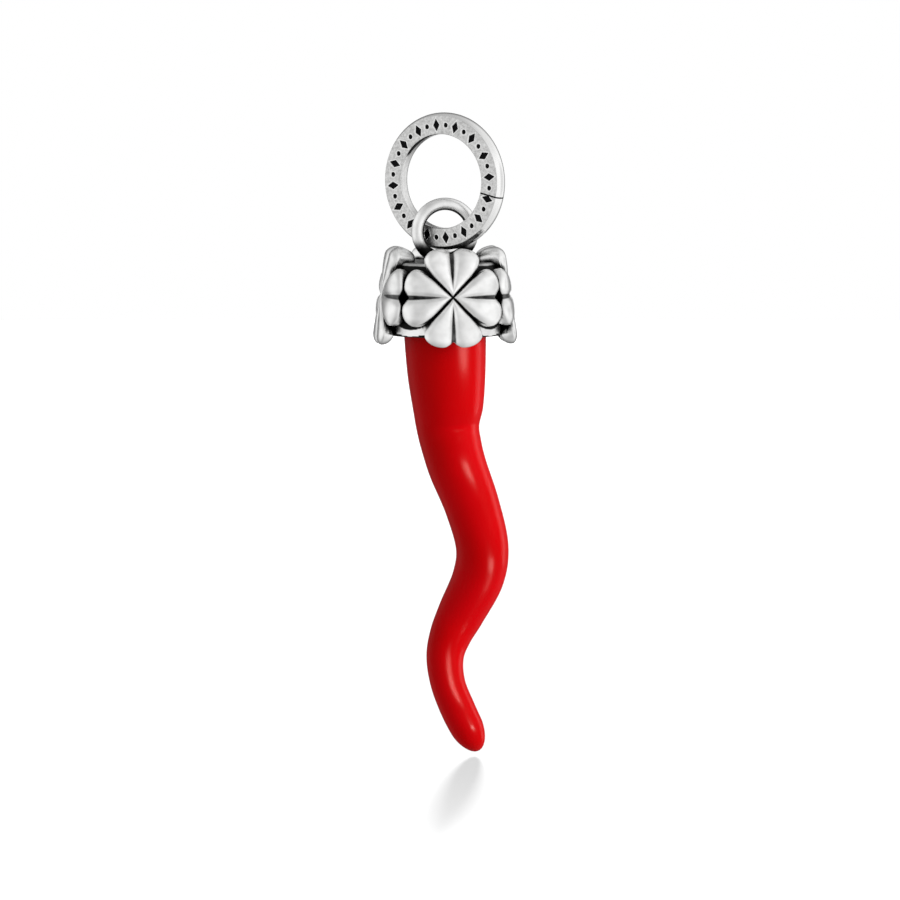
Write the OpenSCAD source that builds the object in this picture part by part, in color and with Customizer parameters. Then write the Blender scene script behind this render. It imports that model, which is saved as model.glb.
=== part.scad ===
// Cornicello horn pendant: a jump ring, a cast cap with four clovers and a bail loop, and a red S-shaped horn.
// Millimetres, +Z up. The origin is the inside top of the jump ring, where a chain or hook carries it.
// The jump ring's axis is the Y axis.

/* [Jump ring] */
// Radius of the ring's hole
ring_hole_r = 4.7; // [4.5:0.05:5.2]
// Radial width of the two flat faces
ring_face_w = 1.9; // [1.6:0.05:2.1]
// How far the rounded outer wall stands out past the flat faces
ring_crown = 0.27; // [0.1:0.01:0.4]
// Thickness along the ring's axis
ring_t = 1.6; // [1.3:0.05:1.8]
// Radius of the rounded edges of the ring's back
ring_back_r = 0.55; // [0.1:0.05:0.6]
// Width of the seam where the ring is closed
seam_w = 0.08; // [0.04:0.01:0.15]
// Place of the seam, degrees below the level of the ring's centre
seam_angle = 13; // [0:1:40]

/* [Ring engraving] */
// Number of engraved lozenges round the front face, with a dot between each two
mark_count = 16; // [8:1:20]
// Height of a lozenge, across the face
mark_h = 1.25; // [0.6:0.05:1.4]
// Width of a lozenge, along the face
mark_w = 0.74; // [0.3:0.02:0.8]
// Diameter of a dot
dot_d = 0.44; // [0.2:0.02:0.5]
// Depth of the engraving
mark_depth = 0.14; // [0.05:0.01:0.3]

/* [Bail loop] */
// Radius of the bail loop, to the middle of its wire
bail_r = 2.76; // [2.6:0.02:3.2]
// Diameter of the bail's wire
bail_wire_d = 1.24; // [1:0.02:1.4]
// Drop of the bail's centre below the ring's centre
bail_drop = 5.05; // [4.8:0.01:5.2]
// Depth to which the bail's wire is sunk into the cap
bail_sink = 0.4; // [0.15:0.05:0.6]
// Height of the solder round the bail's foot
solder_h = 0.35; // [0.2:0.05:0.5]

/* [Cap] */
// Turn of the cap and its bail about the vertical, away from the ring's front
cap_turn = 39; // [0:1:50]
// Outer radius of the cup
cup_r = 5.75; // [5.4:0.05:6]
// Height of the cup
cup_h = 7.1; // [6.5:0.1:8]
// Radius of the rounding of the cup's top edge
cup_edge_r = 0.5; // [0.2:0.05:1]
// Depth of the socket that holds the horn's plug
socket_depth = 5; // [3.5:0.1:5.5]

/* [Clovers] */
// Height of a clover, from leaf to leaf
clover_h = 9.7; // [9:0.1:10.4]
// Drop of a clover's centre below the top of the cup
clover_drop = 3.25; // [2.8:0.05:3.5]
// Distance of the cap's axis from the outer surface at a clover's centre
clover_face_r = 6.5; // [6.3:0.05:6.8]
// How much further out the surface lies at the corners between two clovers, which makes the cap squarer
clover_corner = 1; // [0:0.05:1.2]
// Outward slope of the clovers, from top to bottom
clover_flare = 0.15; // [0:0.01:0.2]
// Radius of the round end of a leaf's lobe
lobe_r = 1.44; // [1.3:0.02:1.48]
// Thickness of a lobe at the top of a clover
lobe_top_t = 3; // [2:0.05:3.2]
// Thickness of a lobe at the bottom of a clover
lobe_bottom_t = 1.45; // [1.3:0.05:1.8]
// Half the distance between the two lobes of a leaf
lobe_apart = 1.28; // [1.14:0.02:1.3]
// Distance of a lobe's narrow end from the clover's centre
root_reach = 0.62; // [0.5:0.02:0.8]
// Radius of a lobe's narrow end
root_r = 0.26; // [0.2:0.02:0.3]
// Gap between the leaves of two neighbouring clovers
clover_gap = 0.45; // [0.3:0.05:0.8]

/* [Horn] */
// Length of the horn below the cap, straight down
horn_len = 42.1; // [36:0.5:50]
// Radius of the horn where it leaves the cap
horn_r = 4.13; // [3.8:0.01:4.3]
// Largest sideways swing of the horn's middle line
horn_sway = 3.8; // [2:0.1:5]
// Largest forward swing of the horn's middle line, which twists it a little
horn_twist = 1; // [0:0.1:1.6]
// Turn of the horn's bends about the vertical, from the cap's front
horn_turn = -7.5; // [-45:0.5:45]
// Part of the hanging length that rounds off into the tip
tip_share = 0.062; // [0.03:0.001:0.08]
// Clearance between the horn's plug and the cap's socket
plug_clearance = 0.08; // [0.05:0.01:0.15]

/* [Hidden] */

// Levels of the main places, all on the Z axis.
ring_centre_z = -ring_hole_r;
bail_centre_z = ring_centre_z - bail_drop;
cup_top_z = bail_centre_z - bail_r - bail_wire_d / 2 + bail_sink;
cup_bottom_z = cup_top_z - cup_h;
clover_z = cup_top_z - clover_drop;
plug_top_z = cup_bottom_z + socket_depth - plug_clearance;

// Names for the columns of the horn's table.
DOWN = 0;
SIDE = 1;
FRONT = 2;
RADIUS = 3;

// Sections of the horn from the cap to the tip: down is a share of horn_len, side of horn_sway,
// front of horn_twist and radius of horn_r.
HORN_ROWS = [
    // down, side, front, radius
    [0.000, 0.00, 0.00, 1.000],
    [0.100, 0.04, 0.00, 0.950],
    [0.180, 0.08, -0.10, 0.860],
    [0.230, 0.08, -0.25, 0.765],
    [0.270, 0.17, 0.10, 0.735],
    [0.325, 0.34, 0.70, 0.710],
    [0.415, 0.72, 1.00, 0.668],
    [0.512, 0.98, 0.35, 0.642],
    [0.590, 0.87, -0.55, 0.630],
    [0.675, 0.42, -1.00, 0.572],
    [0.728, 0.14, -0.70, 0.510],
    [0.780, 0.00, -0.20, 0.455],
    [0.840, 0.08, 0.45, 0.423],
    [0.900, 0.34, 0.85, 0.425],
    [0.950, 0.61, 0.80, 0.408],
    [1.000, 0.89, 0.55, 0.375],
];
HORN_SIDES = 28;
STEPS_PER_ROW = 4;
TIP_STEPS = 6;

// A value on the smooth curve through four rows' values, between the second and the third.
function between(a, b, c, d, t) =
    b + t * (c - a + t * (2 * a - 5 * b + 4 * c - d + t * (3 * b - a - 3 * c + d))) / 2;

// One row of the horn's table at any share of the way through it.
function row_at(share) =
    let (last = len(HORN_ROWS) - 1)
    let (i = min(last - 1, floor(share * last)))
    let (t = share * last - i)
    let (a = HORN_ROWS[max(0, i - 1)], d = HORN_ROWS[min(last, i + 2)])
    [for (k = [DOWN : RADIUS]) between(a[k], HORN_ROWS[i][k], HORN_ROWS[i + 1][k], d[k], t)];

// The horn's middle line, as a point in the horn's own directions.
function horn_point(row) = [
    row[SIDE] * horn_sway,
    -row[FRONT] * horn_twist,
    cup_bottom_z - row[DOWN] * horn_len,
];

// The horn's radius there, drawn in to a round end over the tip's share.
function horn_radius(row) =
    let (into_tip = max(0, (row[DOWN] - 1 + tip_share) / tip_share))
    horn_r * row[RADIUS] * sqrt(max(0, 1 - pow(into_tip, 2)));

function unit(v) = v / norm(v);

// A ring of points round the middle line, square to its direction.
function ring_points(centre, direction, radius) =
    let (across = unit(cross([0, 1, 0], direction)))
    let (along = cross(direction, across))
    [for (k = [0 : HORN_SIDES - 1])
        let (a = 360 * k / HORN_SIDES)
        centre + radius * (cos(a) * across + sin(a) * along)];

module horn() {
    last = len(HORN_ROWS) - 1;
    tip_start = 1 - 1 / last;
    shares = concat(
        [for (i = [0 : STEPS_PER_ROW * (last - 1) - 1]) i / STEPS_PER_ROW / last],
        [for (i = [0 : TIP_STEPS - 1]) tip_start + sin(90 * i / TIP_STEPS) / last]
    );
    step = 0.01;
    body_rings = [for (s = shares)
        let (row = row_at(s))
        let (ahead = horn_point(row_at(min(1, s + step))), behind = horn_point(row_at(max(0, s - step))))
        ring_points(horn_point(row), s == 0 ? [0, 0, -1] : unit(ahead - behind), horn_radius(row))];
    rings = concat([ring_points([0, 0, plug_top_z], [0, 0, -1], horn_r)], body_rings);
    tip = horn_point(row_at(1));
    points = concat([for (r = rings) each r], [tip]);
    n = HORN_SIDES;
    top = [for (k = [0 : n - 1]) k];
    walls = [for (i = [0 : len(rings) - 2], k = [0 : n - 1])
        [i * n + k, (i + 1) * n + k, (i + 1) * n + (k + 1) % n, i * n + (k + 1) % n]];
    end = [for (k = [0 : n - 1])
        [(len(rings) - 1) * n + k, len(points) - 1, (len(rings) - 1) * n + (k + 1) % n]];
    color("red")
        rotate([0, 0, cap_turn + horn_turn])
            polyhedron(points, concat([top], walls, end), convexity = 6);
}

// The ring's section: a flat front face, a back with rounded edges and an outer wall that is part of a circle.
module ring_section() {
    outer_r = ring_hole_r + ring_face_w;
    crown_r = (pow(ring_t / 2, 2) + pow(ring_crown, 2)) / (2 * ring_crown);
    translate([ring_hole_r, ring_back_r - ring_t / 2])
        square([ring_face_w, ring_t - ring_back_r]);
    for (r = [ring_hole_r + ring_back_r, outer_r - ring_back_r])
        translate([r, ring_back_r - ring_t / 2])
            circle(ring_back_r, $fn = 48);
    translate([ring_hole_r + ring_back_r, -ring_t / 2])
        square([ring_face_w - 2 * ring_back_r, ring_t / 2]);
    intersection() {
        translate([outer_r + ring_crown - crown_r, 0])
            circle(crown_r, $fn = 96);
        translate([outer_r - ring_back_r, ring_back_r - ring_t / 2])
            square([2 * ring_back_r, ring_t - ring_back_r]);
    }
}

// A lozenge of the engraving, with its long points across the face.
module lozenge() {
    polygon([[mark_h / 2, 0], [0, mark_w / 2], [-mark_h / 2, 0], [0, -mark_w / 2]]);
}

module ring() {
    face_middle_r = ring_hole_r + ring_face_w / 2;
    pitch = 360 / mark_count;
    color("silver")
        translate([0, 0, ring_centre_z])
            rotate([90, 0, 0])
                difference() {
                    rotate_extrude($fn = 128)
                        ring_section();
                    rotate([0, 0, -seam_angle])
                        translate([ring_hole_r / 2, -seam_w / 2, -ring_t])
                            cube([ring_hole_r + ring_face_w, seam_w, 2 * ring_t]);
                    for (i = [0 : mark_count - 1]) {
                        rotate([0, 0, pitch * (i + 0.25)])
                            translate([face_middle_r, 0, ring_t / 2 - mark_depth])
                                linear_extrude(2 * mark_depth)
                                    lozenge();
                        rotate([0, 0, pitch * (i + 0.75)])
                            translate([face_middle_r, 0, ring_t / 2 - mark_depth])
                                cylinder(h = 2 * mark_depth, d = dot_d, $fn = 24);
                    }
                }
}

// One pillow of a clover's relief: a flattened ball whose outer side lies on the clovers' surface,
// across and up from the clover's centre along that surface. Its back stays near the cup where the surface
// stands out at a corner, and it thickens towards the top, where the leaves curl in over the cup.
module pad(across, up, radius, share) {
    gap_angle = clover_gap / 2 / clover_face_r * 180 / PI;
    turn = across / (clover_h / 2) * (45 - gap_angle);
    squarer = clover_corner * pow(sin(2 * turn), 2);
    kept_on_cup = 0.9;
    surface_r = clover_face_r + squarer - clover_flare * up;
    top_share = 0.5 + up / clover_h;
    curl = pow(top_share, 3);
    thickness = share * (lobe_bottom_t + (lobe_top_t - lobe_bottom_t) * curl) + kept_on_cup * squarer;
    rotate([0, 0, turn])
        translate([0, thickness / 2 - surface_r, clover_z + up])
            rotate([-atan(clover_flare), 0, 0])
                scale([1, thickness / 2 / radius, 1])
                    sphere(radius, $fn = 14);
}

// One lobe of a leaf: it narrows from its round end to a small one near the clover's centre.
module lobe(leaf_turn, side) {
    lobe_reach = clover_h / 2 - lobe_r;
    root_turn = atan(lobe_apart / lobe_reach);
    root_share = 0.75;
    ends = [[side * lobe_apart, lobe_reach, lobe_r, 1],
        [side * root_reach * sin(root_turn), root_reach * cos(root_turn), root_r, root_share]];
    hull()
        for (e = ends)
            pad(e[0] * cos(leaf_turn) - e[1] * sin(leaf_turn),
                e[0] * sin(leaf_turn) + e[1] * cos(leaf_turn), e[2], e[3]);
}

module clover() {
    boss_share = 0.62;
    pad(0, 0, root_reach, boss_share);
    for (leaf_turn = [0 : 90 : 270], side = [-1, 1])
        lobe(leaf_turn, side);
}

module bail() {
    translate([0, 0, bail_centre_z])
        rotate([90, 0, 0])
            rotate_extrude($fn = 48)
                translate([bail_r, 0])
                    circle(d = bail_wire_d, $fn = 16);
    translate([0, 0, cup_top_z - solder_h])
        cylinder(h = 2 * solder_h, r1 = 1.9 * bail_wire_d, r2 = 1.1 * bail_wire_d, $fn = 32);
}

module cup() {
    socket_r = horn_r + plug_clearance;
    difference() {
        translate([0, 0, cup_bottom_z])
            rotate_extrude($fn = 64) {
                square([cup_r, cup_h - cup_edge_r]);
                square([cup_r - cup_edge_r, cup_h]);
                translate([cup_r - cup_edge_r, cup_h - cup_edge_r])
                    circle(cup_edge_r, $fn = 24);
            }
        translate([0, 0, cup_bottom_z - 1])
            cylinder(h = socket_depth + 1, r = socket_r, $fn = 56);
    }
}

module cap() {
    color("gainsboro")
        rotate([0, 0, cap_turn]) {
            cup();
            bail();
            for (turn = [0 : 90 : 270])
                rotate([0, 0, turn])
                    clover();
        }
}

ring();
cap();
horn();
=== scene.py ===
import math

import bmesh
import bpy
import numpy as np
from mathutils import Matrix, Vector
from mathutils.bvhtree import BVHTree


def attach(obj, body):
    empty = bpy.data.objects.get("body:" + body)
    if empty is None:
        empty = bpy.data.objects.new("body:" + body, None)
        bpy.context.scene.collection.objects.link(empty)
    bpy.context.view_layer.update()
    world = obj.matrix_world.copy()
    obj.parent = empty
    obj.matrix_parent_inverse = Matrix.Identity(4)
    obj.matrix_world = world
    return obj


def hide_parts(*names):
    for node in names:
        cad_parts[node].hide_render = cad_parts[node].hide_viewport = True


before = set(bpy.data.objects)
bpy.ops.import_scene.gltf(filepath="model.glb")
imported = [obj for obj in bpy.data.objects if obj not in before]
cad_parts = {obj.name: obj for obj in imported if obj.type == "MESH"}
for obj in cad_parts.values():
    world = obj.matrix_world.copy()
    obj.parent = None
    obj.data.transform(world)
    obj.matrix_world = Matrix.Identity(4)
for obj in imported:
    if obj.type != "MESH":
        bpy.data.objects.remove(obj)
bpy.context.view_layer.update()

# The camera. It stands a little above the middle of the pendant and 31.5 degrees round from the engraved side
# of the jump ring, so that one clover nearly faces it. A long lens keeps the sides of the cap upright.
MM = 0.001
camera_turn = math.radians(31.5)
camera_rise = math.radians(4.4)
camera_away = 900 * MM
view_width = 90 * MM
film_width = 36
aim_right, aim_down = 0.5 * MM, 31.6 * MM
right = Vector((math.cos(camera_turn), math.sin(camera_turn), 0))
towards = Vector((math.sin(camera_turn) * math.cos(camera_rise),
                  -math.cos(camera_turn) * math.cos(camera_rise), math.sin(camera_rise)))
upright = towards.cross(right)
aim = right * aim_right - upright * aim_down

camera_data = bpy.data.cameras.new("camera")
camera_data.sensor_width = film_width
camera_data.lens = film_width * camera_away / view_width
camera_data.clip_start, camera_data.clip_end = 0.02, 50
camera = bpy.data.objects.new("camera", camera_data)
place = Matrix((right, upright, towards)).transposed().to_4x4()
place.translation = aim + towards * camera_away
camera.matrix_world = place
bpy.context.collection.objects.link(camera)
bpy.context.scene.camera = camera
bpy.context.scene.view_settings.view_transform = "Standard"

# The cup. One lost-wax casting in silver carries the whole cap, and this is its plain round body: a flat top
# for the bail, a softened rim, and a socket from below where the horn is glued in. The bath that blackened it
# is still on it wherever the polishing wheel could not reach, and painted shade darkens it under the leaves.
cap_turn = math.radians(39)
cup_top = -12.73 * MM
cup_bottom = -20.1 * MM
cup_r = 5.75 * MM
cup_neck = 5.3 * MM
cup_waist = -17.2 * MM
cup_edge = 0.4 * MM
cup_lip = 0.18 * MM
cup_sides = 288
neck_lean = 0.01 * MM
lid_middle = 0.4 * MM
socket_r = 4.21 * MM
socket_top = -14.83 * MM
socket_edge = 0.1 * MM
past_corner = 0.1 * MM
bright_silver = (0.98, 0.98, 0.975, 1)
dull_silver = (0.79, 0.79, 0.785, 1)
# Black for the patina in the hollows, and for the painted shade under the leaves, inside the bail and at its
# foot.
patina_and_shade_black = (0.010, 0.010, 0.010, 1)


def corner(centre, radius, start, end, steps):
    """A rounded corner of a section, from one angle in degrees to another."""
    turns = np.radians(np.linspace(start, end, steps + 1))
    return [(centre[0] + radius * math.cos(t), centre[1] + radius * math.sin(t)) for t in turns]


def line(start, end, steps):
    """A straight stretch of a section, without its last point."""
    return [(start[0] + (end[0] - start[0]) * i / steps, start[1] + (end[1] - start[1]) * i / steps)
            for i in range(steps)]


def turned(section, sides, closed=False):
    """Points and faces of a section turned about Z. An open section starts and ends on the axis."""
    points, rings = [], []
    for r, z in section:
        if r < 1e-9:
            rings.append([len(points)] * sides)
            points.append((0, 0, z))
        else:
            rings.append([len(points) + k for k in range(sides)])
            points += [(r * math.cos(2 * math.pi * k / sides), r * math.sin(2 * math.pi * k / sides), z)
                       for k in range(sides)]
    faces = []
    for upper, lower in list(zip(rings, rings[1:])) + ([(rings[-1], rings[0])] if closed else []):
        for k in range(sides):
            after = (k + 1) % sides
            face = (upper[k], lower[k], lower[after], upper[after])
            faces.append(tuple(dict.fromkeys(face)))
    return points, faces


def shaped(name, points, faces, material):
    """A smooth plain mesh object of these points and faces, its place in its mesh."""
    mesh = bpy.data.meshes.new(name)
    mesh.from_pydata([tuple(p) for p in points], [], faces)
    mesh.shade_smooth()
    mesh.materials.append(material)
    piece = bpy.data.objects.new(name, mesh)
    bpy.context.collection.objects.link(piece)
    return piece


class Reading:
    """A socket of a node tree. Arithmetic on it adds Math nodes, and [] takes another output of its node."""

    def __init__(self, bench, socket):
        self.bench, self.socket = bench, socket

    def __getitem__(self, name):
        return Reading(self.bench, self.socket.node.outputs[name])

    def math(self, operation, *others):
        return self.bench.add("ShaderNodeMath", {"operation": operation}, dict(enumerate((self, *others))))

    def turned_round(self, operation, other):
        return self.bench.add("ShaderNodeMath", {"operation": operation}, {0: other, 1: self})

    def __add__(self, other): return self.math("ADD", other)
    def __radd__(self, other): return self.math("ADD", other)
    def __sub__(self, other): return self.math("SUBTRACT", other)
    def __rsub__(self, other): return self.turned_round("SUBTRACT", other)
    def __mul__(self, other): return self.math("MULTIPLY", other)
    def __rmul__(self, other): return self.math("MULTIPLY", other)
    def __truediv__(self, other): return self.math("DIVIDE", other)
    def __rtruediv__(self, other): return self.turned_round("DIVIDE", other)
    def __pow__(self, other): return self.math("POWER", other)
    def __lt__(self, other): return self.math("LESS_THAN", other)
    def __abs__(self): return self.math("ABSOLUTE")

    def most(self, other): return self.math("MAXIMUM", other)
    def least(self, other): return self.math("MINIMUM", other)

    def ramp(self, low, high):
        """0 below low, 1 above high, and a soft step between."""
        return self.bench.add("ShaderNodeMapRange", {"interpolation_type": "SMOOTHSTEP"},
                              {"Value": self, "From Min": low, "From Max": high})


class Bench:
    """A node tree that is being built."""

    def __init__(self, tree):
        self.tree = tree

    def add(self, kind, settings=None, values=None, output=0):
        """Any node: its type, its settings, and the values or links of its sockets by name or number."""
        node = self.tree.nodes.new(kind)
        for name, setting in (settings or {}).items():
            setattr(node, name, setting)
        for name, value in (values or {}).items():
            if isinstance(value, Reading):
                self.tree.links.new(value.socket, node.inputs[name])
            else:
                node.inputs[name].default_value = value
        return Reading(self, node.outputs[output]) if len(node.outputs) else None

    def mix(self, share, first, second):
        """A colour between two colours."""
        return self.add("ShaderNodeMix", {"data_type": "RGBA"}, {"Factor": share, 6: first, 7: second}, 2)

    def kept(self, name):
        """The number that a piece keeps under this name for each of its points."""
        return self.add("ShaderNodeAttribute", {"attribute_name": name}, output="Fac")

    def speckle(self, scale, detail, roughness=0.5, stretch=None):
        """Noise over the piece's own coordinates, about 0.5, its scale in grains for each metre."""
        where = self.add("ShaderNodeTexCoord", output="Object")
        if stretch:
            where = self.add("ShaderNodeMapping", values={"Vector": where, "Scale": stretch})
        return self.add("ShaderNodeTexNoise", values={"Vector": where, "Scale": scale, "Detail": detail,
                                                      "Roughness": roughness})


def finish(name):
    """A new material and its bench."""
    material = bpy.data.materials.new(name)
    material.use_nodes = True
    material.node_tree.nodes.clear()
    return material, Bench(material.node_tree)


def lay(bench, sockets):
    """Ends a material in one shader with these values and links."""
    shader = bench.add("ShaderNodeBsdfPrincipled", values=sockets)
    bench.add("ShaderNodeOutputMaterial", values={"Surface": shader})


cap_silver, bench = finish("cap_silver")
mottle = bench.speckle(scale=900, detail=3)
swirl = bench.speckle(scale=480, detail=1)
hairlines = bench.speckle(scale=5200, detail=2, roughness=0.6, stretch=(1, 1, 0.16))
grain = bench.speckle(scale=7000, detail=3, roughness=0.7)
# This black is the patina left in the hollows, and painted shade under the leaves, inside the bail and at its
# foot.
black = (bench.kept("hidden") + 0.20 * (mottle - 0.5)).ramp(0.34, 0.66)
patches = 0.65 * bench.speckle(scale=620, detail=2).ramp(0.32, 0.66) + 0.35 * mottle.ramp(0.35, 0.65)
lay(bench, {
    "Base Color": bench.mix(black, bench.mix(patches, dull_silver, bright_silver), patina_and_shade_black),
    "Metallic": 1.0,
    "Roughness": 0.29 + 0.06 * swirl + 0.05 * hairlines.ramp(0.5, 0.75) + 0.14 * black,
    "Normal": bench.add("ShaderNodeBump", values={
        "Strength": 0.5, "Distance": 0.04 * MM,
        "Height": 0.05 * hairlines + 0.8 * swirl + 0.5 * grain * black}),
})

# The cup's section, from the middle of its lid out, down its wall and up into its socket: (radius, height).
section = (
    [(0, cup_top)]
    + line((lid_middle, cup_top), (cup_neck - cup_edge, cup_top), steps=34)
    + corner((cup_neck - cup_edge, cup_top - cup_edge), cup_edge, 90, 0, steps=10)
    + line((cup_neck + neck_lean, cup_top - cup_edge - past_corner), (cup_r, cup_waist), steps=34)
    + line((cup_r, cup_waist), (cup_r, cup_bottom + cup_lip), steps=20)
    + corner((cup_r - cup_lip, cup_bottom + cup_lip), cup_lip, 0, -90, steps=5)
    + line((cup_r - cup_lip - past_corner, cup_bottom), (socket_r + socket_edge, cup_bottom), steps=7)
    + corner((socket_r + socket_edge, cup_bottom + socket_edge), socket_edge, 270, 180, steps=3)
    + line((socket_r, cup_bottom + socket_edge + past_corner), (socket_r, socket_top), steps=12)
    + [(socket_r, socket_top), (0, socket_top)])
cup = shaped("cup", *turned(section, cup_sides), cap_silver)

# The clovers. Four of them stand round the cup as one casting with it, each of four heart-shaped leaves that
# are two swelling lobes. They lean out towards the horn, and their top leaves curl in over the cup's rim.
clover_h = 9.7 * MM
clover_z = -15.98 * MM
clover_face = 6.5 * MM
clover_corner = 1.0 * MM
clover_flare = 0.15
clover_gap = 0.15 * MM / clover_face
clover_spread, clover_spread_top = 0.17, 0.09
kept_on_cup = 0.9
leaf_top = 2.7 * MM
leaf_bottom = 1.45 * MM
leaf_half = math.radians(44.4)
# A leaf's edge: the share of its half angle, and its reach as a share of half a clover.
leaf_edge = [
    (-0.10, 0.955), (0.0, 0.900), (0.10, 0.955), (0.22, 1.022), (0.38, 1.052), (0.55, 1.058),
    (0.70, 1.035), (0.82, 0.985), (0.91, 0.88), (0.97, 0.71), (1.0, 0.52), (1.01, 0.40)]
edge_steps, lobe_steps, inner_rows, outer_rows = 16, 20, 16, 14
row_turn = 0.5
# Depths as shares of a leaf's thickness: its rim, the fall to each lobe's sides and to its end, its vein.
rim_share, side_fall, end_fall, vein_share = 0.42, 0.13, 0.08, 0.46
back_round = 0.85 * MM


def through(rows, steps):
    """A smooth run through the rows of a table, with this many steps between each two, its ends left out."""
    table = np.array(rows, dtype=float)
    run = []
    for a, b, c, d in zip(table, table[1:], table[2:], table[3:]):
        for i in range(steps):
            t = i / steps
            run.append(b + t * (c - a + t * (2 * a - 5 * b + 4 * c - d + t * (3 * b - a - 3 * c + d))) / 2)
    run.append(table[-2])
    return np.array(run)


def between(value, low, high):
    """0 below low, 1 above high, and a straight slope between."""
    return np.clip((value - low) / (high - low), 0, 1)


def eased(distance, width):
    """How far a rounded edge has dropped at a distance in from it: 1 at the edge, 0 past its width."""
    return 1 - np.sqrt(1 - (1 - between(distance, 0, width)) ** 2)


def marked(piece, name, values):
    """Keeps one number for each point of a piece, which its material reads."""
    layer = piece.data.attributes.get(name) or piece.data.attributes.new(name, "FLOAT", "POINT")
    layer.data.foreach_set("value", np.asarray(values, dtype=np.float32))


# The leaf's points lie in rows out from the clover's middle, closest along its edges and its vein.
edge_run = through(leaf_edge, edge_steps)
half_leaf = 0.5 + 0.5 * np.sin(math.pi / 2 * np.linspace(-1, 1, lobe_steps + 1))
across_leaf = np.concatenate([-half_leaf[:0:-1], half_leaf])
up_leaf = np.concatenate([
    np.linspace(0, row_turn, inner_rows + 1)[1:-1],
    row_turn + (1 - row_turn) * np.sin(math.pi / 2 * np.linspace(0, 1, outer_rows + 1))])[:, None]
edge_reach = np.interp(np.abs(across_leaf), edge_run[:, 0], edge_run[:, 1]) * clover_h / 2
leaf_x = up_leaf * edge_reach * np.sin(across_leaf * leaf_half)
leaf_y = up_leaf * edge_reach * np.cos(across_leaf * leaf_half)
leaf_plan = np.stack([leaf_x, leaf_y], axis=-1)


def gap_to(edge):
    """How far each point of the leaf is from the nearest point of an edge."""
    return np.sqrt(np.min(np.sum((leaf_plan[:, :, None] - edge) ** 2, axis=-1), axis=-1))


# The leaf's rim, four times as fine as its points lie.
rim = np.concatenate([leaf_plan[::-1, 0], leaf_plan[-1], leaf_plan[::-1, -1]])
rim = np.concatenate([rim[:-1] + (rim[1:] - rim[:-1]) * t for t in (0, 0.25, 0.5, 0.75)])
from_rim = gap_to(rim)
from_outer = gap_to(leaf_plan[-1, 1:-1])
from_side = leaf_y * math.sin(leaf_half) - np.abs(leaf_x) * math.cos(leaf_half)
flank = between(from_outer - from_side, -0.21 * MM, 0.09 * MM)
on_rim = np.zeros_like(leaf_x, dtype=bool)
on_rim[-1], on_rim[:, 0], on_rim[:, -1] = True, True, True

# Heights are shares of the leaf's thickness, from 0 at its face to -1 at its back.
lobe_place = 2 * np.abs(across_leaf) - 1
vein_half = 0.20 * MM + 0.12 * leaf_y
vein = (1 - between(np.abs(leaf_x), 0, vein_half)) ** 1.4 * between(leaf_y, 0.5 * MM, 2.3 * MM)
lower_half, upper_half = between(up_leaf, 0, row_turn), between(up_leaf, row_turn, 1)
fall = side_fall * lobe_place ** 2 * lower_half + end_fall * upper_half ** 2
front_round = (0.40 + 0.45 * up_leaf) * MM
rounding = eased(from_rim, front_round)
front = -fall - (rim_share - fall) * (1 - (1 - rounding) * (1 - vein_share * vein))
front[on_rim] = -rim_share
back = -1 + (1 - rim_share) * eased(from_rim, back_round)

# The black in a leaf's own grooves, in its vein and down its flanks. On its back, -1 marks all but its end.
black_half = 0.12 * MM + 0.055 * leaf_y
in_vein = np.exp(-(leaf_x / black_half) ** 2) * between(up_leaf, 0.1, 0.7) ** 0.4
down_flank = between(rounding + 0.08 * up_leaf, 0.30, 0.60) * (0.5 + 0.5 * flank)
front_black = np.maximum(np.minimum(0.80 * in_vein, 0.60), 0.78 * down_flank)
back_end = 0.6 * MM
back_black = np.where(from_outer < back_end, 0.85 * flank, -1)

deep, wide = leaf_x.shape
leaf_points, leaf_faces, leaf_black = [], [], []
for heights, middle_height, black_share, order in (
        (front, -rim_share, front_black, 1), (back, -1.0, back_black, -1)):
    start = len(leaf_points)
    leaf_points.append((0, 0, middle_height))
    leaf_points += list(zip(leaf_x.ravel(), leaf_y.ravel(), heights.ravel()))
    leaf_black += [0, *black_share.ravel()]
    for j in range(wide - 1):
        leaf_faces.append((start, start + 2 + j, start + 1 + j)[::order])
        for i in range(deep - 1):
            a = start + 1 + i * wide + j
            leaf_faces.append((a, a + 1, a + wide + 1, a + wide)[::order])

leaf = shaped("leaf", leaf_points, leaf_faces, cap_silver)
marked(leaf, "grooves", leaf_black)
shell = bmesh.new()
shell.from_mesh(leaf.data)
bmesh.ops.remove_doubles(shell, verts=shell.verts, dist=1e-7)
shell.to_mesh(leaf.data)
shell.free()


def rule(name, inputs):
    """A new Geometry Nodes tree with a geometry input, these number inputs and a geometry output."""
    tree = bpy.data.node_groups.new(name, "GeometryNodeTree")
    tree.interface.new_socket("Geometry", in_out="INPUT", socket_type="NodeSocketGeometry")
    for label in inputs:
        tree.interface.new_socket(label, in_out="INPUT", socket_type="NodeSocketFloat")
    tree.interface.new_socket("Geometry", in_out="OUTPUT", socket_type="NodeSocketGeometry")
    bench = Bench(tree)
    return tree, bench, bench.add("NodeGroupInput")


def applied(piece, tree, inputs):
    """Runs a tree on a piece with these inputs, and gives the piece the plain mesh that results."""
    worker = piece.modifiers.new(tree.name, "NODES")
    worker.node_group = tree
    for item in tree.interface.items_tree:
        if item.in_out == "INPUT" and item.name in inputs:
            worker[item.identifier] = inputs[item.name]
    seen = piece.evaluated_get(bpy.context.evaluated_depsgraph_get())
    result = bpy.data.meshes.new_from_object(seen)
    piece.modifiers.remove(worker)
    piece.data = result
    result.name = piece.name
    return piece


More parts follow.
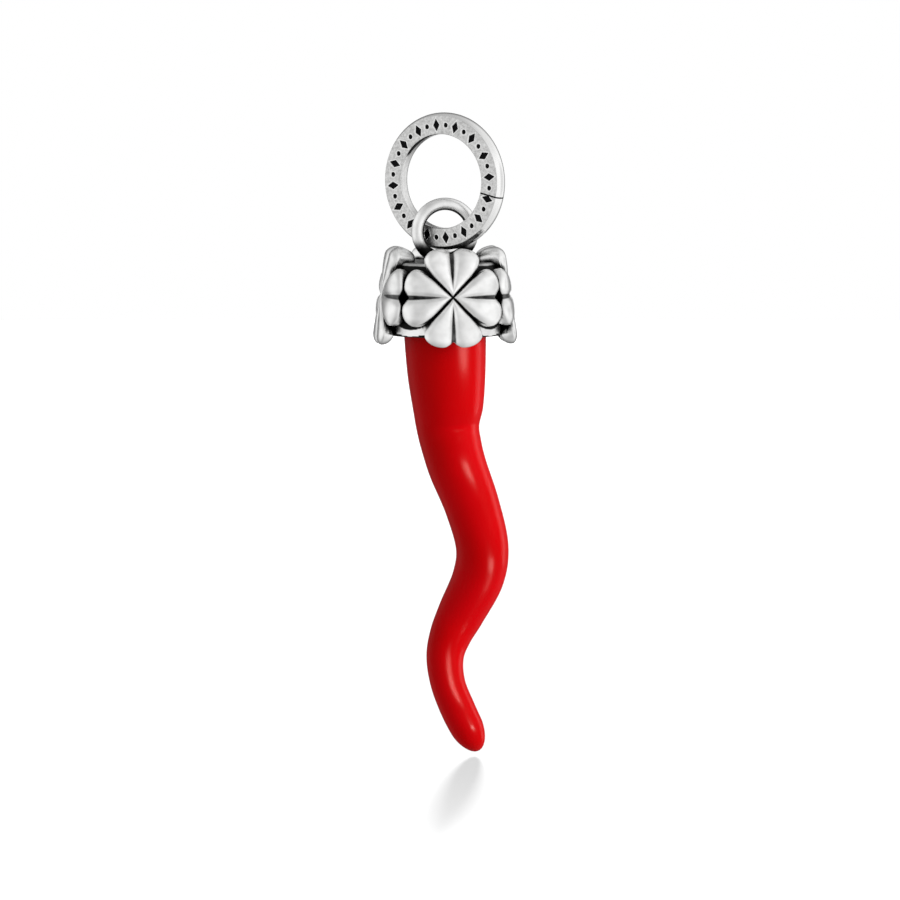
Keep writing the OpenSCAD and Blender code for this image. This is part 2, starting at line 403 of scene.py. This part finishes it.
def repeated(bench, geometry, count, first=0.0):
    """Instances of a geometry turned evenly round Z, all at the origin, made real."""
    spots = bench.add("GeometryNodePoints", values={"Count": count})
    index = bench.add("GeometryNodeInputIndex")
    turning = bench.add("FunctionNodeEulerToRotation", values={
        0: bench.add("ShaderNodeCombineXYZ", values={"Z": index * (2 * math.pi / count) + first})})
    return bench.add("GeometryNodeRealizeInstances", values={
        0: bench.add("GeometryNodeInstanceOnPoints", values={
            "Points": spots, "Instance": geometry, "Rotation": turning})})


# One leaf becomes a clover of four, is wrapped on the cup's side, and is set four times round it.
clover_sizes = {"Clover height": clover_h, "Face radius": clover_face, "Corner rise": clover_corner,
                "Flare": clover_flare, "Gap angle": clover_gap, "Top thickness": leaf_top,
                "Bottom thickness": leaf_bottom, "Clover level": clover_z, "Cap turn": cap_turn}
clover_rule, bench, given = rule("clovers", clover_sizes)
clover = repeated(bench, given["Geometry"], 4)
spot = bench.add("ShaderNodeSeparateXYZ", values={0: bench.add("GeometryNodeInputPosition")})
half = given["Clover height"] / 2
aside, aloft = spot["X"] / half, spot["Y"] / half
spread = aloft * (clover_spread + clover_spread_top * aloft) * (1 - (aside * aside).least(1))
turn = aside * (math.pi / 4 - given["Gap angle"]) * (1 + spread)
squarer = (2 * turn).math("SINE") * (2 * turn).math("SINE") * given["Corner rise"]
surface = given["Face radius"] + squarer - given["Flare"] * spot["Y"]
curl = 0.12 + 0.12 * aloft + 0.76 * aloft.ramp(0.30, 0.88)
thick = given["Bottom thickness"] + (given["Top thickness"] - given["Bottom thickness"]) * curl
under_rim = (-1 * spot["Z"] - rim_share).most(0) / (1 - rim_share)
inwards = spot["Z"] * thick - kept_on_cup * squarer * under_rim
lean = given["Flare"].math("ARCTANGENT")
radius = surface + inwards * lean.math("COSINE")
wrapped = bench.add("GeometryNodeSetPosition", values={
    "Geometry": clover,
    "Position": bench.add("ShaderNodeCombineXYZ", values={
        "X": radius * turn.math("SINE"),
        "Y": -1 * radius * turn.math("COSINE"),
        "Z": given["Clover level"] + spot["Y"] + inwards * lean.math("SINE")})})
ring_of_clovers = repeated(bench, wrapped, 4, given["Cap turn"])
bench.add("NodeGroupOutput", values={0: bench.add("GeometryNodeSetMaterial", values={
    "Geometry": ring_of_clovers, "Material": cap_silver})})
clovers = applied(leaf, clover_rule, clover_sizes)
clovers.name = clovers.data.name = "clovers"

# The bail and its solder. A round silver wire is bent to a loop and soldered upright on the cup, facing the
# same way as the clovers. The solder has run out round its foot in a low mound.
bail_r = 2.76 * MM
bail_wire = 0.62 * MM
bail_z = -9.75 * MM
bail_sides, wire_sides = 192, 48
solder_h = 0.42 * MM
solder_flat = 1.15 * MM
solder_run = 1.25 * MM
solder_sunk, solder_floor = 0.03 * MM, 0.05 * MM
solder_sides, solder_rows = 96, 14
solder_stretch = (1.12, 0.66)


def stood_up(points):
    """Points of a wire loop that lies flat about Z, stood up about Y."""
    return [(x, -z, y) for x, y, z in points]


loop = [(bail_r + bail_wire * math.cos(t), bail_wire * math.sin(t))
        for t in np.linspace(0, -2 * math.pi, wire_sides + 1)[:-1]]
points, faces = turned(loop, bail_sides, closed=True)
bail = shaped("bail", stood_up(points), faces, cap_silver)
bail.data.transform(Matrix.Translation((0, 0, bail_z)) @ Matrix.Rotation(cap_turn, 4, "Z"))

mound = [(solder_flat + solder_run * t, cup_top - solder_sunk + (solder_h + solder_sunk) * (1 - t) ** 2)
         for t in np.linspace(0, 1, solder_rows)]
mound = [(0, cup_top + solder_h)] + mound + [(0, cup_top - solder_floor)]
solder = shaped("solder", *turned(mound, solder_sides), cap_silver)
solder.data.transform(Matrix.Rotation(cap_turn, 4, "Z") @ Matrix.Diagonal((*solder_stretch, 1, 1)))

# The blackening. A bath turned the whole casting black, and the wheel took it off wherever it could reach.
# What is left at a point is the share of its own sky that the casting hides, or more: black at the cup's
# lower edge, behind the low leaves and on the solder, and painted shade on the cup's wall, lid and top beside
# the clovers, under the curled top leaves, inside the bail and at its foot.
sky_rays = 36
sky_reach = 3.2 * MM
ray_start = 0.012 * MM
quite_black, half_black = 0.8, 0.5


def own_points(piece):
    """A piece's points as an array, and its points' normals."""
    mesh = piece.data
    places = np.empty(len(mesh.vertices) * 3)
    mesh.vertices.foreach_get("co", places)
    outwards = np.empty(len(mesh.vertices) * 3)
    mesh.vertex_normals.foreach_get("vector", outwards)
    return places.reshape(-1, 3), outwards.reshape(-1, 3)


def sky_fan():
    """Directions spread evenly over the light that falls on a flat spot, which faces +Z."""
    fan = []
    for i in range(sky_rays):
        level = (i + 0.5) / sky_rays
        r, t = math.sqrt(level), i * math.pi * (3 - math.sqrt(5))
        fan.append((r * math.cos(t), r * math.sin(t), math.sqrt(1 - level)))
    return np.array(fan)


def hidden_sky(pieces):
    """For each piece, the share of each point's sky that these pieces hide."""
    places, polygons = [], []
    for piece in pieces:
        polygons += [tuple(len(places) + v for v in p.vertices) for p in piece.data.polygons]
        places += [tuple(p) for p in own_points(piece)[0]]
    tree = BVHTree.FromPolygons(places, polygons)
    fan = sky_fan()
    for piece in pieces:
        points, outwards = own_points(piece)
        helper = np.where(np.abs(outwards[:, 2:3]) < 0.9, [[0.0, 0.0, 1.0]], [[1.0, 0.0, 0.0]])
        side = np.cross(helper, outwards)
        side /= np.linalg.norm(side, axis=1)[:, None]
        along = np.cross(outwards, side)
        hits = np.zeros(len(points))
        for i, start in enumerate(points + outwards * ray_start):
            directions = fan[:, 0:1] * side[i] + fan[:, 1:2] * along[i] + fan[:, 2:3] * outwards[i]
            hits[i] = sum(tree.ray_cast(start, d, sky_reach)[0] is not None for d in directions)
        yield hits / sky_rays


def cup_black(points, outwards):
    """Black on the cup: a line at its lower edge, and painted shade on its wall under the leaves, on its lid,
    and near its top in front of the clovers' middles, under their curled top leaves.
    """
    up_wall, below_lid = points[:, 2] - cup_bottom, cup_top - points[:, 2]
    quarter = (np.arctan2(points[:, 1], points[:, 0]) - cap_turn) / (math.pi / 2)
    off_corner = np.abs(quarter % 1 - 0.5) * math.pi / 2 * cup_r
    arch = off_corner ** 2 / MM
    lower_edge = up_wall < 0.12 * MM + 0.05 * arch
    # Painted shade: the wall under the leaves, the lid, and the top in front of the clovers' middles are
    # blackened.
    wall = between(up_wall - 0.16 * arch, 0.60 * MM, 0.80 * MM)
    under_lid = between(below_lid, 0.22 * MM, 0.42 * MM)
    lid = between(-below_lid, -0.10 * MM, -0.02 * MM)
    near_top = (below_lid < 2.5 * MM) * (np.hypot(points[:, 0], points[:, 1]) > 4.4 * MM)
    painted_shade_beside_clover = between(off_corner, 1.5 * MM, 2.3 * MM) * near_top
    return (quite_black * lower_edge, wall * (half_black + (quite_black - half_black) * under_lid),
            0.60 * lid, quite_black * painted_shade_beside_clover)


def clovers_black(points, outwards):
    """Black on the clovers: in their grooves, behind the low leaves, and painted shade under the curled top
    leaves.
    """
    grooves = np.empty(len(points), dtype=np.float32)
    clovers.data.attributes["grooves"].data.foreach_get("value", grooves)
    behind = (grooves < -0.5) & (points[:, 2] < -18.2 * MM)
    # Painted shade on the downward-facing undersides of the curled top leaves.
    painted_shade_under_curl = between(-outwards[:, 2], 0.10, 0.50) * between(points[:, 2], -14.4 * MM, -13.5 * MM)
    return np.clip(grooves, 0, 1), quite_black * behind, quite_black * painted_shade_under_curl


def bail_painted_shade(points, outwards):
    """Painted shade on the bail: inside its loop, and growing towards its foot."""
    from_middle = points - np.array([0, 0, bail_z])
    from_middle /= np.linalg.norm(from_middle, axis=1)[:, None]
    # Painted shade: darker inside the loop and towards the foot.
    inside = between(-np.sum(from_middle * outwards, axis=1), 0.36, 0.61)
    foot = between(-points[:, 2], 9.3 * MM, 12.3 * MM)
    return 0.7 * inside, 0.9 * foot


def solder_black(points, outwards):
    """Black all over the solder, at the bail's foot."""
    return (np.full(len(points), quite_black),)


casting = [cup, clovers, bail, solder]
own_black = [cup_black, clovers_black, bail_painted_shade, solder_black]
for piece, more_black, hidden in zip(casting, own_black, list(hidden_sky(casting))):
    marked(piece, "hidden", np.maximum.reduce([hidden, *more_black(*own_points(piece))]))
    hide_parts("cap")
    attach(piece, "drop")

# The horn. Cast resin under a thick gloss of red enamel, tapering through its S-bends to a blunt tip. A plain
# plug at its top is glued in the cup's socket.
horn_level = -19.83 * MM
horn_len = 42.1 * MM
horn_r = 4.13 * MM
horn_turn = cap_turn - math.radians(7.5)
horn_sway = 3.8 * MM
horn_twist = 1.0 * MM
horn_sides = 96
tip_share = 0.062
plug_top = -14.91 * MM
# Down as a share of the length, sideways of the sway, forwards of the twist, and radius of the horn's radius.
horn_table = [
    (-0.050, 0.00, 0.00, 1.000), (0.000, 0.00, 0.00, 1.000), (0.100, 0.04, 0.00, 0.950),
    (0.180, 0.08, -0.10, 0.860), (0.230, 0.08, -0.25, 0.765), (0.270, 0.17, 0.10, 0.735),
    (0.325, 0.345, 0.70, 0.710), (0.415, 0.72, 1.00, 0.668), (0.512, 0.98, 0.35, 0.642),
    (0.590, 0.87, -0.55, 0.630), (0.675, 0.42, -1.00, 0.572), (0.728, 0.14, -0.70, 0.510),
    (0.780, 0.00, -0.20, 0.455), (0.840, 0.08, 0.45, 0.423), (0.900, 0.34, 0.85, 0.425),
    (0.950, 0.61, 0.80, 0.408), (1.000, 0.89, 0.55, 0.375), (1.060, 1.19, 0.30, 0.350)]
row_steps, tip_steps, blend_steps = 14, 24, 15
deep_red = (0.43, 0.0, 0.001, 1)
clear_red = (0.47, 0.0, 0.002, 1)

# Each ring of the horn faces along its run, smoothed so that no two rings cross inside a bend.
run = through(horn_table, row_steps)
middles = np.column_stack([run[:, 1] * horn_sway, -run[:, 2] * horn_twist, horn_level - run[:, 0] * horn_len])
window = 2 * blend_steps + 1
directions = np.column_stack([
    np.convolve(np.pad(column, blend_steps, mode="edge"), np.full(window, 1 / window), mode="valid")
    for column in np.gradient(middles, axis=0).T])
directions /= np.linalg.norm(directions, axis=1)[:, None]


def at(down, rows):
    """The place or direction in a run's rows at a share of the way down the horn."""
    return np.array([np.interp(down, run[:, 0], rows[:, k]) for k in range(3)])


turns = 2 * math.pi * np.arange(horn_sides) / horn_sides
horn_rings = [np.column_stack([
    horn_r * np.cos(turns), horn_r * np.sin(turns), np.full(horn_sides, plug_top)])]
tip_downs = 1 - tip_share + tip_share * np.sin(math.pi / 2 * np.linspace(0, 1, tip_steps + 1))[:-1]
for down in [*run[run[:, 0] < 1 - tip_share, 0], *tip_downs]:
    heading = at(down, directions)
    heading /= np.linalg.norm(heading)
    across = np.cross([0, 1, 0], heading)
    across /= np.linalg.norm(across)
    along = np.cross(heading, across)
    into_tip = max(0.0, (down - 1 + tip_share) / tip_share)
    r = horn_r * np.interp(down, run[:, 0], run[:, 3]) * math.sqrt(max(0.0, 1 - into_tip ** 2))
    horn_rings.append(at(down, middles)
                      + r * (np.cos(turns)[:, None] * across + np.sin(turns)[:, None] * along))

last = (len(horn_rings) - 1) * horn_sides
plug_middle, tip_middle = last + horn_sides, last + horn_sides + 1
horn_points = [*np.concatenate(horn_rings), (0, 0, plug_top), at(1.0, middles)]
horn_faces = []
for k in range(horn_sides):
    after = (k + 1) % horn_sides
    horn_faces.append((plug_middle, k, after))
    horn_faces += [(i + k, i + horn_sides + k, i + horn_sides + after, i + after)
                   for i in range(0, last, horn_sides)]
    horn_faces.append((last + k, tip_middle, last + after))

horn_red, bench = finish("horn_red")
depth = bench.speckle(scale=150, detail=2)
flow = bench.speckle(scale=420, detail=1)
dust = bench.speckle(scale=9000, detail=2, roughness=0.6)
lay(bench, {
    "Base Color": bench.mix(depth.ramp(0.3, 0.7), deep_red, clear_red),
    "Roughness": 0.20 + 0.05 * dust,
    "Specular IOR Level": 0.035,
    "Specular Tint": (1.0, 0.8, 0.7, 1),
    "Normal": bench.add("ShaderNodeBump", values={
        "Strength": 0.25, "Distance": 0.03 * MM, "Height": flow + 0.03 * dust}),
})
horn = shaped("red_horn", horn_points, horn_faces, horn_red)
shell = bmesh.new()
shell.from_mesh(horn.data)
bmesh.ops.recalc_face_normals(shell, faces=shell.faces)
shell.to_mesh(horn.data)
shell.free()
horn.data.transform(Matrix.Rotation(horn_turn, 4, "Z"))
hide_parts("horn")
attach(horn, "drop")

# The jump ring. Flat-sided silver wire bent round the bail and closed with a butt seam, low on one side. Its
# outer wall is rounded and polished. Its face is satin, with lozenges and dots that a graver cut, left black.
hole_r = 4.7 * MM
face_w = 1.9 * MM
ring_t = 1.6 * MM
ring_z = -4.7 * MM
ring_edge = 0.09 * MM
ring_back = 0.55 * MM
ring_bulge = 0.27 * MM
bulge_turn = 62
bulge_steps, ring_steps = 12, 1008
face_start = 0.07 * MM
face_chamfer = 0.02 * MM
back_start = 0.12 * MM
outer = hole_r + face_w
half_t = ring_t / 2
polished_silver = (0.86, 0.86, 0.855, 1)
satin_silver = (0.46, 0.46, 0.455, 1)
# Black for the engraving and the seam, and for a painted dark reflection in the hole.
engraved_and_reflection_black = (0.010, 0.010, 0.011, 1)

bulge_r = (half_t - ring_edge) / math.sin(math.radians(bulge_turn))
least_turn = math.cos(math.radians(bulge_turn))
wall = [(outer + ring_bulge * (math.cos(t) - least_turn) / (1 - least_turn), bulge_r * math.sin(t))
        for t in np.radians(np.linspace(bulge_turn, -bulge_turn, bulge_steps + 1))]
# The section lies with its face up, and runs from the face's inner edge outwards, down the outer wall, whose
# last rows the back's rounding replaces, and back by the hole: (radius, height). Stood up, it faces front.
ring_section = (
    [(hole_r + face_chamfer, half_t - face_chamfer)]
    + line((hole_r + ring_edge, half_t), (outer - ring_edge, half_t), steps=38)
    + corner((outer - ring_edge, half_t - ring_edge), ring_edge, 90, 30, steps=3)
    + wall[1:9]
    + corner((outer - ring_back + back_start, ring_back - half_t), ring_back, -25, -90, steps=8)
    + line((outer - ring_back, -half_t), (hole_r + ring_back, -half_t), steps=5)
    + corner((hole_r + ring_back, ring_back - half_t), ring_back, 270, 180, steps=8)
    + line((hole_r, ring_back - half_t + past_corner), (hole_r, half_t - face_start), steps=5))
points, faces = turned(ring_section, ring_steps, closed=True)

ring_silver, bench = finish("ring_silver")
blotch = bench.speckle(scale=700, detail=3)
tooth = bench.speckle(scale=3600, detail=3, roughness=0.7)
file_marks = bench.speckle(scale=4200, detail=2, roughness=0.6, stretch=(1, 0.2, 1))
# The black holds the engraved marks, the seam, and a painted dark reflection in the hole at the upper left.
black = (bench.kept("cut_and_reflection") + 0.2 * (blotch - 0.5)).ramp(0.35, 0.6)
satin = bench.kept("face") * (1 - bench.kept("burr")).least(1)
dulled = satin * (0.30 + 0.6 * blotch + 2.2 * (tooth - 0.5)).least(1).most(0)
lay(bench, {
    "Base Color": bench.mix(black, bench.mix(dulled, polished_silver, satin_silver), engraved_and_reflection_black),
    "Metallic": 1.0,
    "Roughness": 0.12 + 0.05 * tooth + 0.24 * satin + 0.22 * black,
    "Normal": bench.add("ShaderNodeBump", values={
        "Strength": 0.5, "Distance": 0.015 * MM, "Height": tooth * (0.12 + satin) + 0.3 * file_marks}),
})
ring = shaped("jump_ring", stood_up(points), faces, ring_silver)
ring.data.transform(Matrix.Translation((0, 0, ring_z)))

# Each point of the ring finds its place between the marks, and sinks where a lozenge, a dot or the seam is.
# A rim of burr stands round each mark, and a painted dark reflection lies in the hole at the upper left,
# round the dark angle.
touching, near, edge_margin, hole_margin = 0.004 * MM, 0.01 * MM, 0.05 * MM, 0.06 * MM
engraving = {"Marks": 16.0, "Lozenge height": 1.25 * MM, "Lozenge width": 0.74 * MM,
             "Dot diameter": 0.44 * MM, "Depth": 0.14 * MM, "Lip": 0.02 * MM,
             "Face radius": hole_r + face_w / 2, "Face half width": face_w / 2, "Face place": -half_t,
             "Centre level": ring_z, "Seam angle": math.radians(-13), "Seam width": 0.15 * MM,
             "Seam depth": 0.05 * MM, "Dark angle": 2.15}
engraver, bench, given = rule("engraving", engraving)
spot = bench.add("ShaderNodeSeparateXYZ", values={0: bench.add("GeometryNodeInputPosition")})
level = spot["Z"] - given["Centre level"]
angle = level.math("ARCTAN2", spot["X"])
distance = (level * level + spot["X"] * spot["X"]) ** 0.5
out = abs(distance - given["Face radius"])
behind_face = spot["Y"] - given["Face place"]
pitch = 2 * math.pi / given["Marks"]
on_face = (behind_face < touching) * (out < given["Face half width"] - edge_margin)
beside_lozenge = abs((angle / pitch - 0.25).math("WRAP", 0.5, -0.5)) * pitch * distance
beside_dot = abs((angle / pitch - 0.75).math("WRAP", 0.5, -0.5)) * pitch * distance
lozenge = beside_lozenge / (given["Lozenge width"] / 2) + out / (given["Lozenge height"] / 2)
dot = (beside_dot * beside_dot + out * out) ** 0.5 / (given["Dot diameter"] / 2)
pit = (1 - lozenge.ramp(0.92, 1.08)).most(1 - dot.ramp(0.85, 1.2)) * on_face
round_pit = (1 - lozenge.ramp(1.15, 1.45)).most(1 - dot.ramp(1.3, 1.7)) * on_face
burr = (round_pit - pit).most(0)
beside_seam = abs((angle - given["Seam angle"]).math("WRAP", math.pi, -math.pi)) * distance
seam = 1 - (beside_seam / given["Seam width"]).ramp(0.2, 0.75)
in_hole = distance < given["Face radius"] - given["Face half width"] + hole_margin
# Painted dark reflection: the front of the hole is black round the dark angle.
painted_dark_reflection = in_hole * (1 - abs(angle - given["Dark angle"]).ramp(0.10, 0.75)) * (
    1 - behind_face.ramp(0.35 * MM, 0.75 * MM))
face = ((behind_face < near) * (out < given["Face half width"])).most(0.5 * in_hole)
noted = given["Geometry"]
for name, value in (("cut_and_reflection", pit.most(seam).most(painted_dark_reflection)), ("burr", burr), ("face", face)):
    noted = bench.add("GeometryNodeStoreNamedAttribute", {"data_type": "FLOAT", "domain": "POINT"},
                      {"Geometry": noted, "Name": name, "Value": value})
sunk = given["Depth"] * pit - given["Lip"] * burr + given["Seam depth"] * on_face * seam
moved = bench.add("GeometryNodeSetPosition", values={
    "Geometry": noted, "Offset": bench.add("ShaderNodeCombineXYZ", values={"Y": sunk})})
bench.add("NodeGroupOutput", values={0: bench.add("GeometryNodeSetMaterial", values={
    "Geometry": bench.add("GeometryNodeRealizeInstances", values={0: moved}), "Material": ring_silver})})
applied(ring, engraver, engraving)
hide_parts("ring")
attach(ring, "hanger")

# The studio. The pendant hangs close over a white floor, in a white tent that is dark behind it and is all
# the silver's light. Lamps that light the horn alone draw its gloss and fill its right side. Others light the
# floor alone, keep it white and draw the soft shadow under the tip.
floor_z = -62.25 * MM
floor_r = 700 * MM
floor_t = 2 * MM
paper_white = (0.93, 0.93, 0.93, 1)
floor_white, bench = finish("floor_white")
lay(bench, {"Base Color": paper_white, "Roughness": 0.9, "Specular IOR Level": 0.0})
floor_section = [(0, floor_z), (floor_r, floor_z), (floor_r, floor_z - floor_t), (0, floor_z - floor_t)]
floor = shaped("floor", *turned(floor_section, sides=96), floor_white)
floor.data.shade_flat()

world = bpy.data.worlds.new("white_tent")
bpy.context.scene.world = world
world.use_nodes = True
world.node_tree.nodes.clear()
bench = Bench(world.node_tree)
direction = bench.add("ShaderNodeTexCoord", output="Generated")


def facing(heading):
    """How much a direction in the tent points along a heading, from -1 to 1."""
    return bench.add("ShaderNodeVectorMath", {"operation": "DOT_PRODUCT"},
                     {0: direction, 1: tuple(Vector(heading).normalized())}, "Value")


up_there = facing((0, 0, 1))
to_right = facing(right)
to_camera = facing(towards)
# How bright the tent is in each direction, of full white.
dark_cloth = 0.10
gap_in_cloth = 0.85 * (-1 * to_camera).ramp(0.93, 0.97)
round_the_front = to_camera.ramp(-0.95, -0.36)
tent_wall = 0.71
right_wall = 0.33 * to_right.ramp(-0.22, 0.55)
left_end = 0.18 * (-1 * to_right).ramp(0.45, 0.85)
right_end = 0.30 * to_right.ramp(0.90, 0.98)
roof = 0.25 * up_there.ramp(0.3, 0.8)
round_the_lens = 0.08 * to_camera.ramp(0.55, 0.98)
table = 0.28 * (1 - up_there.ramp(-0.9, -0.2))
brightness = dark_cloth + gap_in_cloth + round_the_front * (
    tent_wall + right_wall + left_end - right_end - roof - round_the_lens - table)
# Matt surfaces get up to a fifth less light from the left.
seen = bench.add("ShaderNodeLightPath", output="Is Camera Ray")
brightness = brightness * (1 - 0.20 * seen["Is Diffuse Ray"] * (1 - to_right.ramp(-0.8, 0.6)))
white = (1, 1, 1, 1)
bench.add("ShaderNodeOutputWorld", values={"Surface": bench.add("ShaderNodeMixShader", values={
    0: seen,
    1: bench.add("ShaderNodeBackground", values={"Color": white, "Strength": brightness}),
    2: bench.add("ShaderNodeBackground", values={"Color": white, "Strength": 1.0})})})


def softbox(name, place, size, power, aim_at=(0, 0, -32), spread=180):
    """An area light. Its place and aim are to the camera's right, to the front and up, all in millimetres."""
    lamp = bpy.data.lights.new(name, "AREA")
    lamp.spread = math.radians(spread)
    lamp.shape, lamp.size, lamp.size_y = "RECTANGLE", size[0] * MM, size[1] * MM
    lamp.energy = power
    body = bpy.data.objects.new(name, lamp)
    front = Vector((towards.x, towards.y, 0)).normalized()
    body.location = (right * place[0] + front * place[1] + Vector((0, 0, place[2]))) * MM
    target = (right * aim_at[0] + front * aim_at[1] + Vector((0, 0, aim_at[2]))) * MM
    body.rotation_euler = (body.location - target).to_track_quat("Z", "Y").to_euler()
    body.visible_camera = False
    bpy.context.collection.objects.link(body)
    return body


def alone(piece):
    """A collection that holds one piece, for the lamps that light nothing else."""
    group = bpy.data.collections.new(piece.name)
    group.objects.link(piece)
    return group


only_horn, only_floor = alone(horn), alone(floor)
gloss_lamps = [
    softbox("key", (290, 440, 125), (100, 45), 0.34),
    softbox("barrel_card", (19, 17, -23.4), (16, 6), 0.0006, aim_at=(1.8, 3.6, -21.6), spread=34),
    softbox("neck_card", (8.3, 13.8, -30.1), (7, 2.5), 0.00016, aim_at=(2.2, 4, -33.4), spread=40),
    softbox("low_card", (18.2, 16.4, -57.0), (11, 5.4), 0.0004, aim_at=(4.5, 2.5, -43.6), spread=34),
    softbox("tail_card", (5.1, 12.2, -50.9), (10, 4.5), 0.00045, aim_at=(1, 2, -55.8), spread=40),
    softbox("tip_card", (19, 18, -61.4), (7, 2.5), 0.0007, aim_at=(3.2, 1, -59.9), spread=40),
    softbox("streak", (495, -160, 0), (220, 480), 1.6)]
side_fill = softbox("side_fill", (455, 265, 60), (340, 420), 3.2)
side_fill.visible_glossy = False
for lamp in gloss_lamps:
    lamp.visible_diffuse = False
for lamp in (*gloss_lamps, side_fill):
    lamp.light_linking.receiver_collection = only_horn
horn.visible_glossy = horn.visible_diffuse = False

floor_fill = softbox("floor_fill", (0, 100, 600), (900, 900), 0.62)
low_lamp = softbox("floor_lamp", (55, -2400, 130), (150, 90), 275.0)
pool = softbox("front_pool", (0, 150, -32.5), (420, 130), 0.21)
pool.rotation_euler = (0, 0, math.atan2(right.y, right.x))
for lamp in (floor_fill, low_lamp, pool):
    lamp.light_linking.receiver_collection = only_floor
    lamp.visible_glossy = False
for lamp in (floor_fill, pool):
    lamp.light_linking.blocker_collection = only_floor
floor.visible_glossy = floor.visible_diffuse = False
